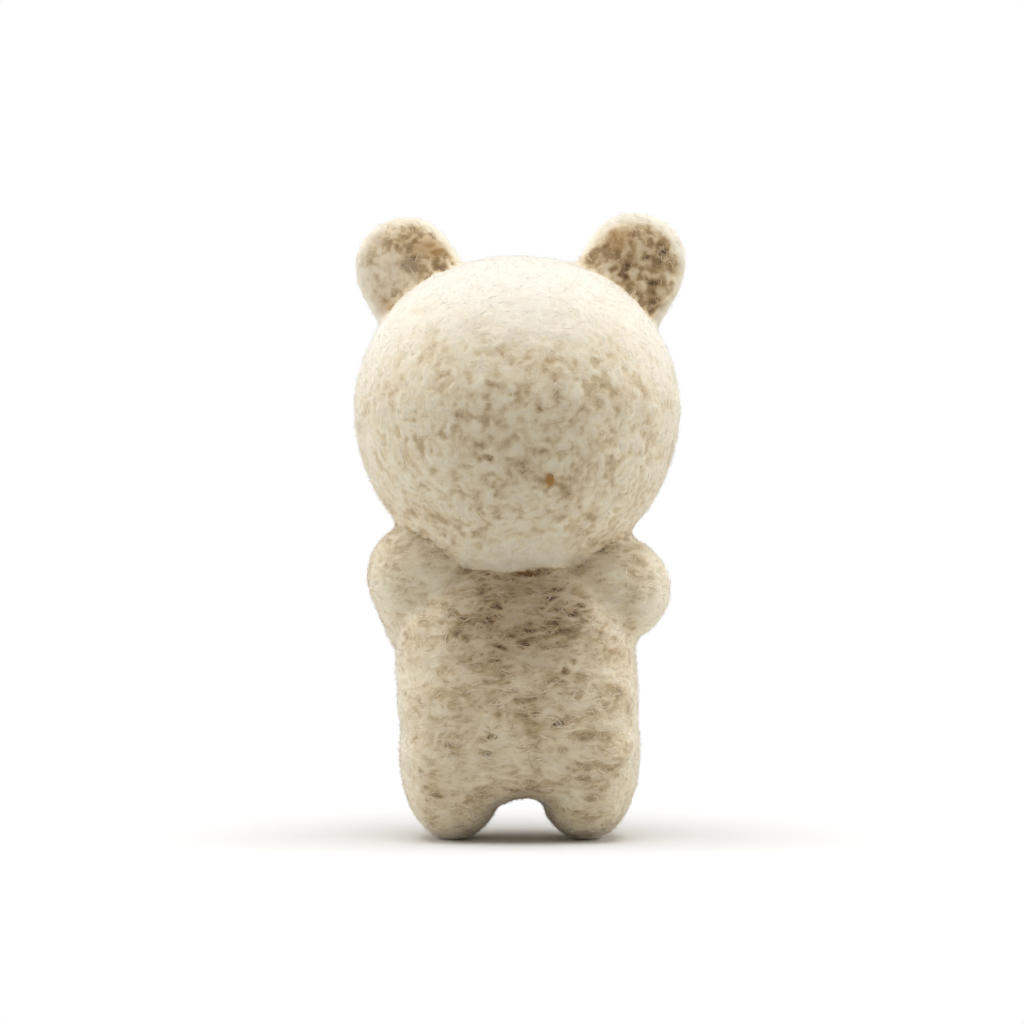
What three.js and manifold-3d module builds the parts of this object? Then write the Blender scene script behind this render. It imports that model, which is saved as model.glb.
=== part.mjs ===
// A small standing bear in needle-felted wool, about 75 mm tall, as the pieces that it is felted from:
// two cores wrapped in cover wool and joined by a neck plug, with limbs, ears and a face needled on.
// Millimetres, +Z up. The bear faces -Y, so its own left is +X. Z is 0 at the soles.
import * as THREE from 'three';
import { mergeVertices } from 'three/addons/utils/BufferGeometryUtils.js';
import Module from 'manifold-3d';

const wasm = await Module();
wasm.setup();

// Gap kept wherever one piece seats on or in another.
const clearance = 0.3;

// Legs: rounded stubs about flush with the torso's sides, each pressed flat at the sole.
const legWidth = 13;
const legDepth = 21.4;
const legBelow = 10.5;
const legAbove = 8.5;
const legFullness = { below: 2, above: 2.8 };
const legForward = 0.6;
const leftLegInset = 0.25;
const rightLegInset = -0.35;
const soleFlattening = 0.5;

// Torso: a rounded block, wrapped over its core, that leans a little to the bear's left.
const torsoWidth = 28.6;
const torsoDepth = 23;
const torsoBelow = 15.6;
const torsoAbove = 13;
const torsoFullness = { below: 3.2, above: 2.8 };
const torsoLean = 3.5;
const torsoShift = 0.1;
const crotchHeight = 4.4;
const torsoWall = 2.6;

// Head: a nearly round ball, sunk a little way into the top of the torso.
const headWidth = 39;
const headDepth = 36;
const headBelow = 20.4;
const headAbove = 18.8;
const headFullness = { below: 1.88, above: 2.05 };
const headSeatDepth = 2.6;
const headWall = 3;

// Neck plug: the wad of wool that holds the head core on the torso core.
const neckDiameter = 8.6;
const neckEndRounding = 1.6;
const neckDepthInTorso = 9;
const neckDepthInHead = 9;

// Ears: upright petals round the crown, cupped at the front. The right one stands out a little more.
const earWidth = 12.4;
const earThickness = 5;
const earAbove = 6.2;
const earBelow = 11.6;
const earFullness = { below: 3.6, above: 2.1 };
const earStandOff = 3.1;
const earForward = 0.6;
const earCupWidth = 7.4;
const earCupHeight = 8;
const earCupDepth = 1.1;
const leftEar = { angle: 37.4, lift: -0.35, lean: 29.5 };
const rightEar = { angle: 38.1, lift: 0.6, lean: 28 };

// Arms: tapered stubs from the shoulders that reach forward. The left one is held lower.
const armRootDiameter = 12.7;
const armTipDiameter = 10.2;
const armReach = 11;
const armRootBack = 1.6;
const leftArm = { inset: 2.6, belowShoulder: 1.5, inward: 1.2, drop: 7 };
const rightArm = { inset: 2.3, belowShoulder: 3.2, inward: 0.2, drop: -0.8 };

// Face: a low muzzle with a felted nose and a stitched mouth, and two bead eyes on stems.
const muzzleWidth = 11.6;
const muzzleHeight = 8.6;
const muzzleDepth = 8.4;
const muzzleFullness = { below: 2.1, above: 2.1 };
const muzzleDrop = 5.6;
const muzzleStandOut = 3;
const noseWidth = 4.2;
const noseHeight = 2.8;
const noseDepth = 2.8;
const noseFullness = { below: 2, above: 2.5 };
const noseRise = 1.6;
const noseStandOut = 0.9;
const mouthWidth = 5;
const mouthLineWidth = 0.7;
const mouthDrop = 2.1;
const mouthStandOut = 0.25;
const mouthDepthInMuzzle = 0.45;
const eyeDiameter = 3.2;
const eyeSpacing = 13;
const eyeRise = 0.6;
const eyeSink = 0.5;
const eyeStemDiameter = 0.9;
const eyeStemLength = 1.5;

// How finely the forms are faceted.
const outerDetail = 7;
const innerDetail = 5;
const limbDetail = 5;
const smallDetail = 3;
const roundSegments = 18;
const arcSegments = 4;

const cream = new THREE.Color(0xe9dfcc);
const oatmeal = new THREE.Color(0xd3c3a6);
const coreWool = new THREE.Color(0xf1ece0);
const darkWool = new THREE.Color(0x3b2a20);
const blackBead = new THREE.Color(0x0c0b0b);
const woolRoughness = 0.95;
const beadRoughness = 0.15;

const quarterTurn = Math.PI / 2;

// Turns a closed geometry into a solid that can be joined and cut.
function solid(geometry) {
  const shape = geometry.clone();
  shape.deleteAttribute('normal');
  shape.deleteAttribute('uv');
  const merged = mergeVertices(shape, 1e-4);
  return new wasm.Manifold(new wasm.Mesh({
    numProp: 3,
    vertProperties: new Float32Array(merged.attributes.position.array),
    triVerts: new Uint32Array(merged.index.array),
  }));
}

// Gives a solid back as a geometry.
function geometryOf(manifold) {
  const { numProp, vertProperties, triVerts } = manifold.getMesh();
  const corners = vertProperties.length / numProp;
  const positions = new Float32Array(corners * 3);
  for (let i = 0; i < corners; i++) {
    positions.set(vertProperties.subarray(i * numProp, i * numProp + 3), i * 3);
  }
  const geometry = new THREE.BufferGeometry();
  geometry.setAttribute('position', new THREE.BufferAttribute(positions, 3));
  geometry.setIndex(new THREE.BufferAttribute(new Uint32Array(triVerts), 1));
  geometry.computeVertexNormals();
  return geometry;
}

// How far a soft form reaches from its centre along a unit direction. Fullness 2 is an ellipsoid
// and more is squarer. Above and below its widest level a form can differ in height and fullness.
function reach(form, direction, grow = 0) {
  const isBelow = direction.z < 0;
  const power = isBelow ? form.fullness.below : form.fullness.above;
  const height = isBelow ? form.below : form.above;
  const share = Math.abs(direction.x / (form.width / 2 + grow)) ** power
    + Math.abs(direction.y / (form.depth / 2 + grow)) ** power
    + Math.abs(direction.z / (height + grow)) ** power;
  return share ** (-1 / power);
}

// How far in front of its centre a form's surface is, at an offset from the centre in X and Z.
function frontReach(form, x, z) {
  const isBelow = z < 0;
  const power = isBelow ? form.fullness.below : form.fullness.above;
  const height = isBelow ? form.below : form.above;
  const share = 1 - Math.abs(x / (form.width / 2)) ** power - Math.abs(z / height) ** power;
  return (form.depth / 2) * Math.max(share, 0) ** (1 / power);
}

// A soft form as a closed solid at the form's own place. Grow moves its surface out all round, or
// in where it is negative, and an inner surface is never faceted finer than innerDetail.
function softSolid(form, grow = 0) {
  const detail = grow < 0 ? Math.min(form.detail, innerDetail) : form.detail;
  const geometry = new THREE.IcosahedronGeometry(1, detail);
  const position = geometry.attributes.position;
  const point = new THREE.Vector3();
  for (let i = 0; i < position.count; i++) {
    point.fromBufferAttribute(position, i).normalize();
    point.multiplyScalar(reach(form, point, grow));
    position.setXYZ(i, point.x, point.y, point.z);
  }
  geometry.rotateY(form.lean ?? 0);
  geometry.translate(form.x ?? 0, form.y ?? 0, form.z);
  return solid(geometry);
}

// Turns a profile made of arcs about Z. Each arc has a centre on X and Z, a radius, and the angles
// where it starts and ends. The profile starts and ends on the axis.
function turned(arcs) {
  const points = [];
  for (const { x, z, radius, from, to } of arcs) {
    for (let i = 0; i <= arcSegments; i++) {
      const angle = THREE.MathUtils.lerp(from, to, i / arcSegments);
      points.push(new THREE.Vector2(x + radius * Math.cos(angle), z + radius * Math.sin(angle)));
    }
  }
  const bottom = new THREE.Vector2(0, points[0].y);
  const top = new THREE.Vector2(0, points[points.length - 1].y);
  const offAxis = points.filter((point) => point.x > 1e-6);
  return new THREE.LatheGeometry([bottom, ...offAxis, top], roundSegments).rotateX(quarterTurn);
}

// Moves a geometry that was turned about Z to a starting point and aims it along a direction.
function aimed(geometry, start, direction) {
  const upright = new THREE.Vector3(0, 0, 1);
  geometry.applyQuaternion(new THREE.Quaternion().setFromUnitVectors(upright, direction));
  return geometry.translate(start.x, start.y, start.z);
}

// Places of the large forms, stacked from the crotch up.
const torso = {
  width: torsoWidth,
  depth: torsoDepth,
  below: torsoBelow,
  above: torsoAbove,
  fullness: torsoFullness,
  lean: THREE.MathUtils.degToRad(torsoLean),
  x: torsoShift,
  z: crotchHeight + torsoBelow,
  detail: outerDetail,
};
const torsoTop = torso.z + torsoAbove;
const headBottom = torsoTop - headSeatDepth;
const head = {
  width: headWidth,
  depth: headDepth,
  below: headBelow,
  above: headAbove,
  fullness: headFullness,
  z: headBottom + headBelow,
  detail: outerDetail,
};

// The neck plug, upright on the figure's axis. Grow makes the socket that it seats in.
function neckPlug(grow = 0) {
  const radius = neckEndRounding;
  const x = neckDiameter / 2 + grow - radius;
  const bottom = headBottom - neckDepthInTorso - grow + radius;
  const top = headBottom + neckDepthInHead + grow - radius;
  return solid(turned([
    { x, z: bottom, radius, from: -quarterTurn, to: 0 },
    { x, z: top, radius, from: 0, to: quarterTurn },
  ]));
}

// The place of an eye on the head's surface, and the way that it looks.
function eyePlace(side) {
  const x = side * eyeSpacing / 2;
  const direction = new THREE.Vector3(x, -frontReach(head, x, eyeRise), eyeRise).normalize();
  const centre = direction.clone().multiplyScalar(reach(head, direction) - eyeSink);
  centre.z += head.z;
  return { centre, direction };
}

// A bead eye with the stem behind it, set into the head. Grow makes its socket.
function eyeBead(side, grow = 0) {
  const { centre, direction } = eyePlace(side);
  const radius = eyeDiameter / 2 + grow;
  const ball = turned([
    { x: 0, z: 0, radius, from: -quarterTurn, to: 0 },
    { x: 0, z: 0, radius, from: 0, to: quarterTurn },
  ]);
  const stemRadius = eyeStemDiameter / 2 + grow;
  const stemLength = radius + eyeStemLength;
  const stem = new THREE.CylinderGeometry(stemRadius, stemRadius, stemLength, roundSegments / 2);
  stem.rotateX(quarterTurn);
  stem.translate(0, 0, -stemLength / 2);
  return solid(aimed(ball, centre, direction)).add(solid(aimed(stem, centre, direction)));
}

// Cover wool round the torso core, open at the neck where the head sits.
function torsoCover() {
  const hollow = softSolid(torso, -torsoWall).subtract(softSolid(head, torsoWall + clearance));
  return softSolid(torso)
    .subtract(softSolid(head, clearance))
    .subtract(hollow)
    .subtract(neckPlug(clearance));
}

function torsoCore() {
  return softSolid(torso, -torsoWall - clearance)
    .subtract(softSolid(head, torsoWall + 2 * clearance))
    .subtract(neckPlug(clearance));
}

// Cover wool round the head core, with the sockets of the neck plug and the eyes.
function headCover() {
  return softSolid(head)
    .subtract(softSolid(head, -headWall))
    .subtract(neckPlug(clearance))
    .subtract(eyeBead(1, clearance))
    .subtract(eyeBead(-1, clearance));
}

function headCore() {
  return softSolid(head, -headWall - clearance)
    .subtract(neckPlug(clearance))
    .subtract(eyeBead(1, clearance))
    .subtract(eyeBead(-1, clearance));
}

// A leg, cut by the torso above it and flat at the floor.
function leg(side, inset) {
  const form = {
    width: legWidth,
    depth: legDepth,
    below: legBelow,
    above: legAbove,
    fullness: legFullness,
    x: side * ((torsoWidth - legWidth) / 2 - inset),
    y: -legForward,
    z: legBelow - soleFlattening,
    detail: limbDetail,
  };
  const floor = new THREE.BoxGeometry(2 * legWidth, 2 * legDepth, legBelow);
  floor.translate(form.x, form.y, -legBelow / 2);
  return softSolid(form).subtract(solid(floor)).subtract(softSolid(torso, clearance));
}

// An arm, from a ball at the shoulder to a smaller ball at the paw, cut by the torso and the head.
function arm(side, pose) {
  const across = torsoWidth / 2 - pose.inset;
  const shoulder = new THREE.Vector3(side * across, armRootBack, torsoTop - pose.belowShoulder);
  const paw = new THREE.Vector3(
    shoulder.x - side * pose.inward,
    shoulder.y - armReach,
    shoulder.z - pose.drop,
  );
  const length = shoulder.distanceTo(paw);
  const direction = paw.sub(shoulder).normalize();
  const rootRadius = armRootDiameter / 2;
  const tipRadius = armTipDiameter / 2;
  const taper = Math.asin((rootRadius - tipRadius) / length);
  const stub = turned([
    { x: 0, z: 0, radius: rootRadius, from: -quarterTurn, to: taper },
    { x: 0, z: length, radius: tipRadius, from: taper, to: quarterTurn },
  ]);
  return solid(aimed(stub, shoulder, direction))
    .subtract(softSolid(torso, clearance))
    .subtract(softSolid(head, clearance));
}

// An ear that stands on the crown, with a shallow cup in its front.
function ear(side, pose) {
  const angle = THREE.MathUtils.degToRad(pose.angle);
  const outward = new THREE.Vector3(Math.sin(angle), 0, Math.cos(angle));
  const distance = reach(head, outward) + earStandOff + pose.lift;
  const place = {
    lean: side * THREE.MathUtils.degToRad(pose.lean),
    x: side * outward.x * distance,
    z: head.z + outward.z * distance,
  };
  const petal = {
    ...place,
    width: earWidth,
    depth: earThickness,
    below: earBelow,
    above: earAbove,
    fullness: earFullness,
    y: -earForward,
    detail: limbDetail,
  };
  const cup = {
    ...place,
    width: earCupWidth,
    depth: 2 * earCupDepth,
    below: earCupHeight / 2,
    above: earCupHeight / 2,
    fullness: { below: 2, above: 2 },
    y: -earForward - earThickness / 2,
    detail: smallDetail,
  };
  return softSolid(petal).subtract(softSolid(head, clearance)).subtract(softSolid(cup));
}

// The muzzle and the nose, each set on what is behind it by how far it stands out.
const muzzle = {
  width: muzzleWidth,
  depth: muzzleDepth,
  below: muzzleHeight / 2,
  above: muzzleHeight / 2,
  fullness: muzzleFullness,
  y: muzzleDepth / 2 - muzzleStandOut - frontReach(head, 0, -muzzleDrop),
  z: head.z - muzzleDrop,
  detail: limbDetail,
};
const nose = {
  width: noseWidth,
  depth: noseDepth,
  below: noseHeight / 2,
  above: noseHeight / 2,
  fullness: noseFullness,
  y: muzzle.y + noseDepth / 2 - noseStandOut - frontReach(muzzle, 0, noseRise),
  z: muzzle.z + noseRise,
  detail: smallDetail,
};

// The mouth seen from the front, as a bar right through the front of the muzzle: a short line down
// from the nose with a smile across its foot. Grow widens it for the groove.
function mouthBar(grow = 0) {
  const half = mouthLineWidth / 2 + grow;
  const smileRadius = mouthWidth / 2;
  const smileTurn = Math.PI / 3;
  const centre = smileRadius - mouthDrop;
  const smile = new THREE.Shape();
  smile.absarc(0, centre, smileRadius + half, -quarterTurn - smileTurn, -quarterTurn + smileTurn, false);
  smile.absarc(0, centre, smileRadius - half, -quarterTurn + smileTurn, -quarterTurn - smileTurn, true);
  const settings = { depth: muzzleDepth, bevelEnabled: false, curveSegments: 2 * arcSegments };
  const lineTop = noseRise - nose.below - clearance + grow;
  const line = new THREE.BoxGeometry(2 * half, lineTop + mouthDrop, muzzleDepth);
  line.translate(0, (lineTop - mouthDrop) / 2, muzzleDepth / 2);
  const [curve, stroke] = [new THREE.ExtrudeGeometry(smile, settings), line].map((geometry) => {
    geometry.rotateX(quarterTurn);
    return solid(geometry.translate(0, muzzle.y, muzzle.z));
  });
  return curve.add(stroke);
}

function mouthStitch() {
  return softSolid(muzzle, mouthStandOut)
    .subtract(softSolid(muzzle, -mouthDepthInMuzzle))
    .intersect(mouthBar());
}

// The muzzle, cut by the head behind it and grooved for the mouth.
function muzzlePad() {
  const groove = softSolid(muzzle, clearance)
    .subtract(softSolid(muzzle, -mouthDepthInMuzzle - clearance))
    .intersect(mouthBar(clearance));
  return softSolid(muzzle).subtract(softSolid(head, clearance)).subtract(groove);
}

function nosePad() {
  return softSolid(nose).subtract(softSolid(muzzle, clearance));
}

function piece(name, manifold, colour, roughness) {
  const material = new THREE.MeshStandardMaterial({ color: colour, roughness, metalness: 0 });
  const mesh = new THREE.Mesh(geometryOf(manifold), material);
  mesh.name = name;
  return mesh;
}

const bear = new THREE.Group();
bear.add(
  piece('torso_core', torsoCore(), coreWool, woolRoughness),
  piece('torso_cover', torsoCover(), oatmeal, woolRoughness),
  piece('head_core', headCore(), coreWool, woolRoughness),
  piece('head_cover', headCover(), cream, woolRoughness),
  piece('neck_plug', neckPlug(), coreWool, woolRoughness),
  piece('leg_left', leg(1, leftLegInset), oatmeal, woolRoughness),
  piece('leg_right', leg(-1, rightLegInset), oatmeal, woolRoughness),
  piece('arm_left', arm(1, leftArm), oatmeal, woolRoughness),
  piece('arm_right', arm(-1, rightArm), oatmeal, woolRoughness),
  piece('ear_left', ear(1, leftEar), oatmeal, woolRoughness),
  piece('ear_right', ear(-1, rightEar), oatmeal, woolRoughness),
  piece('muzzle', muzzlePad(), cream, woolRoughness),
  piece('nose', nosePad(), darkWool, woolRoughness),
  piece('mouth_stitch', mouthStitch(), darkWool, woolRoughness),
  piece('eye_left', eyeBead(1), blackBead, beadRoughness),
  piece('eye_right', eyeBead(-1), blackBead, beadRoughness),
);

// The origin is on the floor, under the middle of the whole figure.
const middle = new THREE.Box3().setFromObject(bear).getCenter(new THREE.Vector3());
bear.position.set(-middle.x, -middle.y, 0);

export default bear;
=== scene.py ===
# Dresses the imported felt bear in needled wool: a fused skin with pits and loose strands, a dark nose and
# mouth, and bead eyes. Lengths are in millimetres until a mesh is made. The bear faces -Y, and the camera
# sees its back.
import itertools
import math
from types import SimpleNamespace

import bmesh
import bpy
import numpy as np
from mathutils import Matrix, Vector
from mathutils.bvhtree import BVHTree
from mathutils.kdtree import KDTree


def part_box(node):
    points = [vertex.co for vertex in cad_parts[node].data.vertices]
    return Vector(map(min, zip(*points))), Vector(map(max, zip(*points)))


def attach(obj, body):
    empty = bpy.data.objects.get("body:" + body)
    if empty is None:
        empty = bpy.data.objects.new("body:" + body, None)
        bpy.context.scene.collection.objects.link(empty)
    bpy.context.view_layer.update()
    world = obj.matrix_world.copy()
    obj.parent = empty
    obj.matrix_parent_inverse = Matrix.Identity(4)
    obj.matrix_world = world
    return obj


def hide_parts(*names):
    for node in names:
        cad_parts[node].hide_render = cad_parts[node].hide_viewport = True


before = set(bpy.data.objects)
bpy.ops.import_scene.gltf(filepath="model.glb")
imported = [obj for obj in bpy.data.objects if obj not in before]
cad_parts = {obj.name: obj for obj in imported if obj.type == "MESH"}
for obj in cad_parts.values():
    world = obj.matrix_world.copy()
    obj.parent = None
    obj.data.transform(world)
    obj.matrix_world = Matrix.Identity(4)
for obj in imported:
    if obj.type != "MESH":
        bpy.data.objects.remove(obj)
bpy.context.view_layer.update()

MM = 0.001
UP = np.array([0.0, 0.0, 1.0])

# Noise: how far apart its seeds lie, and what brings it to about -1 to 1.
NOISE_SEED_STEP = 17.3
NOISE_GAIN = 1.6

# A soft spot has its full amount within this share of its radii.
SPOT_CORE = 0.3

# Skins: neighbouring solids grow a little, fuse on a fine grid, and are smoothed as needling does.
GROWTH = 0.2
GRID = 0.44
SMOOTHING_ROUNDS = 8
SMOOTHING_SHARE = 0.5
LABEL_ROUNDS = 6

# The soles stay flat: nothing below the reach moves up or down, and the relief grows in between the two
# heights of the fade.
SOLE_REACH = 0.5
SOLE_FADE = (0.2, 2.0)

# Laid strands shape the skin: beads along each one lift what they cover, and the rest stays bare. A point's
# height comes partly from how high the strand lies in the stack, and partly from the strand's own roundness.
# Their widths vary by these shares.
LAID_BEADS = 26
LAID_WIDTHS = (0.7, 1.3)
LAID_STACKING = 0.6
LAID_ROUNDNESS = 0.4
BARE_LEVEL = 0.15

# Loose strands are closed tubes with pointed ends, half sunk in the skin. Their lengths and widths vary by
# these shares. Their depth, which sets their painted shade, is a share of the skin's, made a little less or
# more.
STRAND_SIDES = 3
STRAND_STEPS = 5
STRAND_FLATNESS = 0.4
STRAND_TAPER = 0.45
STRAND_LENGTHS = (0.6, 1.4)
STRAND_WIDTHS = (0.5, 1.3)
STRAND_LIFT = (-0.05, 0.01)
STRAND_SINK = 0.15
STRAND_SHADE = 0.6
STRAND_DEPTH = (-0.12, 0.15)

# Fuzz: fine hairs that stand up and lean over. Their heights and widths vary by these shares.
FUZZ_COUNT = 12000
FUZZ_STEPS = 4
FUZZ_HEIGHT = 0.25
FUZZ_HEIGHTS = (0.4, 1.3)
FUZZ_THICKNESS = 0.05
FUZZ_WIDTHS = (0.6, 1.2)
FUZZ_SWING = 0.12
FUZZ_ARC = 1.9
FUZZ_LEAN = 0.2
FUZZ_SINK = 0.05

# Beads: how finely they are turned, how deep their front is, and how far from the ball its stem counts.
BEAD_SIDES = 48
BEAD_RINGS = 25
BEAD_FRONT = 1.2
BEAD_MARGIN = 0.1

# The nose and the mouth's line: each node with its piece and its grid, and the relief of their dark wool.
DARK_PIECES = [("nose", "felt_nose", 0.2), ("mouth_stitch", "mouth_thread", 0.1)]
DARK_ROUNDS = 6
DARK_RELIEF = 0.06
DARK_RELIEF_SIZE = 0.45
DARK_SEED = 8

# What each point of a skin carries for its material, and its value on a plain skin: how deep it lies in a
# pit, which its material shows as painted shade, the tint of its strand, how much paler or darker it is
# painted (painted light and painted shade on the torso and the head, and on the ears' rims partly their own
# pale fuzz), and how much ochre stains it, which in the neck's crease tints painted shade.
PLAIN_VALUES = {"depth": 1.0, "tint": 0.5, "pale": 0.0, "stain_and_crease_shade": 0.0}

# The photograph: its scale, where its middle lies on the bear, and how far off the camera stood. The camera's
# sensor, and from where on it sees.
MM_PER_PIXEL = 0.12
PICTURE_PIXELS = 1024
CAMERA_X = 1.02
CAMERA_Z = 39.0
CAMERA_DISTANCE = 400.0
SENSOR_WIDTH = 36.0
CLIP_START = 10.0

# The lamps, all aimed at the bear's middle: each with its place, its width and height, and its level.
LAMP_AIM = (0, 0, 40)
LAMPS = [
    ("lamp_top", (0, 80, 520), (520, 400), 3.7),
    ("lamp_side", (-480, 0, 120), (420, 420), 1.75),
    ("lamp_rim", (-440, -220, 120), (420, 420), 1.0),
    ("lamp_side", (480, 0, 120), (420, 420), 1.75),
    ("lamp_rim", (440, -220, 120), (420, 420), 1.0),
]

# The white tent round the bear, which is open and darker where the camera stands: its levels, and the stretch
# of Y over which one turns into the other, where 1 is straight at the camera.
TENT_LEVEL = 0.2
TENT_LEVEL_AT_CAMERA = 0.17
TENT_FADE = (-0.2, 0.8)

# The floor: its half width, the distances between which its shadow gives way to plain white, its roughness,
# the shade that bounces light at the bear, and the shade that is seen.
FLOOR_REACH = 3000.0
FLOOR_FADE = (45.0, 110.0)
FLOOR_ROUGHNESS = 0.9
FLOOR_BOUNCE = (0.66, 0.66, 0.64, 1.0)
FLOOR_SEEN = (0.95, 0.95, 0.95, 1.0)


# Noise


SHUFFLED = np.random.default_rng(11).permutation(256)
SLOPES = np.random.default_rng(12).normal(size=(256, 3))
SLOPES /= np.linalg.norm(SLOPES, axis=1, keepdims=True)


def noise(points, size, seed):
    """Smooth noise from about -1 to 1, whose features are about size across."""
    cells = points / size + seed * NOISE_SEED_STEP
    corner = np.floor(cells).astype(int)
    inside = cells - corner
    ease = inside**3 * (inside * (inside * 6 - 15) + 10)
    total = np.zeros(len(points))
    for step in itertools.product((0, 1), repeat=3):
        place = (corner + step) & 255
        key = SHUFFLED[(SHUFFLED[(SHUFFLED[place[:, 0]] + place[:, 1]) & 255] + place[:, 2]) & 255]
        weight = np.prod(np.where(step, ease, 1 - ease), axis=1)
        total += weight * np.sum(SLOPES[key] * (inside - step), axis=1)
    return total * NOISE_GAIN


def rise(values, low, high):
    """0 below low, 1 above high, and smooth between."""
    share = np.clip((values - low) / (high - low), 0, 1)
    return share * share * (3 - 2 * share)


def soft_spots(points, spots):
    """The sum of soft spots at the points. A spot has a middle, its radii along the axes, and an amount."""
    total = np.zeros(len(points))
    for middle, radii, amount in spots:
        away = np.linalg.norm((points - middle) / radii, axis=1)
        total += amount * (1 - rise(away, SPOT_CORE, 1.0))
    return total


# Meshes


def new_mesh(name, points, quads, triangles):
    """A smooth mesh object in the shared frame, from points in millimetres."""
    quads = np.asarray(quads, np.int32).reshape(-1, 4)
    triangles = np.asarray(triangles, np.int32).reshape(-1, 3)
    corners = np.concatenate([quads.ravel(), triangles.ravel()])
    counts = np.concatenate([np.full(len(quads), 4), np.full(len(triangles), 3)])
    starts = np.concatenate([[0], np.cumsum(counts)[:-1]])
    mesh = bpy.data.meshes.new(name)
    mesh.vertices.add(len(points))
    mesh.vertices.foreach_set("co", (points * MM).astype(np.float32).ravel())
    mesh.loops.add(len(corners))
    mesh.loops.foreach_set("vertex_index", corners.astype(np.int32))
    mesh.polygons.add(len(counts))
    mesh.polygons.foreach_set("loop_start", starts.astype(np.int32))
    mesh.update(calc_edges=True)
    mesh.validate()
    mesh.shade_smooth()
    made = bpy.data.objects.new(name, mesh)
    bpy.context.scene.collection.objects.link(made)
    return made


def set_values(made, name, values):
    """One number a vertex, for the material to read by name."""
    layer = made.data.attributes.new(name, "FLOAT", "POINT")
    layer.data.foreach_set("value", values.astype(np.float32))


def evaluated_mesh(made):
    """The mesh of an object with its modifiers applied. The object is taken away."""
    bpy.context.view_layer.update()
    result = bpy.data.meshes.new_from_object(made.evaluated_get(bpy.context.evaluated_depsgraph_get()))
    bpy.data.objects.remove(made)
    return result


def mesh_points(mesh):
    """The mesh's points, in millimetres."""
    points = np.empty(len(mesh.vertices) * 3, np.float32)
    mesh.vertices.foreach_get("co", points)
    return points.reshape(-1, 3).astype(float) / MM


def mesh_normals(mesh):
    """The normals at the mesh's points."""
    normals = np.empty(len(mesh.vertices) * 3, np.float32)
    mesh.vertices.foreach_get("normal", normals)
    return normals.reshape(-1, 3).astype(float)


def mesh_quads(mesh):
    """The corners of a mesh that has only quads."""
    corners = np.empty(len(mesh.loops), np.int32)
    mesh.loops.foreach_get("vertex_index", corners)
    return corners.reshape(-1, 4)


def mesh_edges(mesh):
    """The two ends of each of the mesh's edges."""
    edges = np.empty(len(mesh.edges) * 2, np.int32)
    mesh.edges.foreach_get("vertices", edges)
    return edges.reshape(-1, 2)


def node_tree(node):
    """A search tree over a CAD node's faces, in millimetres."""
    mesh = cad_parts[node].data
    return BVHTree.FromPolygons(
        [v.co / MM for v in mesh.vertices],
        [tuple(p.vertices) for p in mesh.polygons],
    )


def neighbour_means(points, edges):
    """The mean of each point's neighbours."""
    count = np.bincount(edges.ravel(), minlength=len(points))[:, None]
    total = np.zeros_like(points)
    for axis in range(points.shape[1]):
        total[:, axis] = np.bincount(edges[:, 0], points[edges[:, 1], axis], len(points))
        total[:, axis] += np.bincount(edges[:, 1], points[edges[:, 0], axis], len(points))
    return total / np.maximum(count, 1)


# Fused skins


def fused(nodes, grid):
    """One voxel mesh round several CAD nodes, each grown so that the gaps between them close."""
    gathered = bmesh.new()
    for node in nodes:
        gathered.from_mesh(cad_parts[node].data)
    bmesh.ops.remove_doubles(gathered, verts=gathered.verts, dist=0.001 * MM)
    gathered.normal_update()
    for v in gathered.verts:
        v.co += v.normal * GROWTH * MM
    mesh = bpy.data.meshes.new("fused")
    gathered.to_mesh(mesh)
    gathered.free()
    made = bpy.data.objects.new("fused", mesh)
    bpy.context.scene.collection.objects.link(made)
    voxels = made.modifiers.new("voxels", "REMESH")
    voxels.mode = "VOXEL"
    voxels.voxel_size = grid * MM
    return evaluated_mesh(made)


def keep_outside(mesh):
    """Deletes every shell of the mesh but the one that reaches lowest, which is the outside."""
    edit = bmesh.new()
    edit.from_mesh(mesh)
    edit.verts.ensure_lookup_table()
    lowest = min(edit.verts, key=lambda v: v.co.z)
    seen = {lowest}
    front = [lowest]
    while front:
        here = front.pop()
        for edge in here.link_edges:
            there = edge.other_vert(here)
            if there not in seen:
                seen.add(there)
                front.append(there)
    bmesh.ops.delete(edit, geom=[v for v in edit.verts if v not in seen], context="VERTS")
    edit.to_mesh(mesh)
    edit.free()


def nearest_nodes(points, nodes):
    """For each point, which of the nodes is nearest, as its place in the list."""
    trees = [node_tree(n) for n in nodes]
    gaps = np.array([[tree.find_nearest(Vector(p))[3] for tree in trees] for p in points])
    return gaps.argmin(axis=1)


def settle_labels(labels, quads):
    """Straightens the borders between labelled faces: each face takes the label that most round it have."""
    kinds = labels.max() + 1
    for _ in range(LABEL_ROUNDS):
        votes = np.zeros((quads.max() + 1, kinds))
        for corner in range(4):
            np.add.at(votes, (quads[:, corner], labels), 1)
        labels = votes[quads].sum(axis=1).argmax(axis=1)
    return labels


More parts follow.
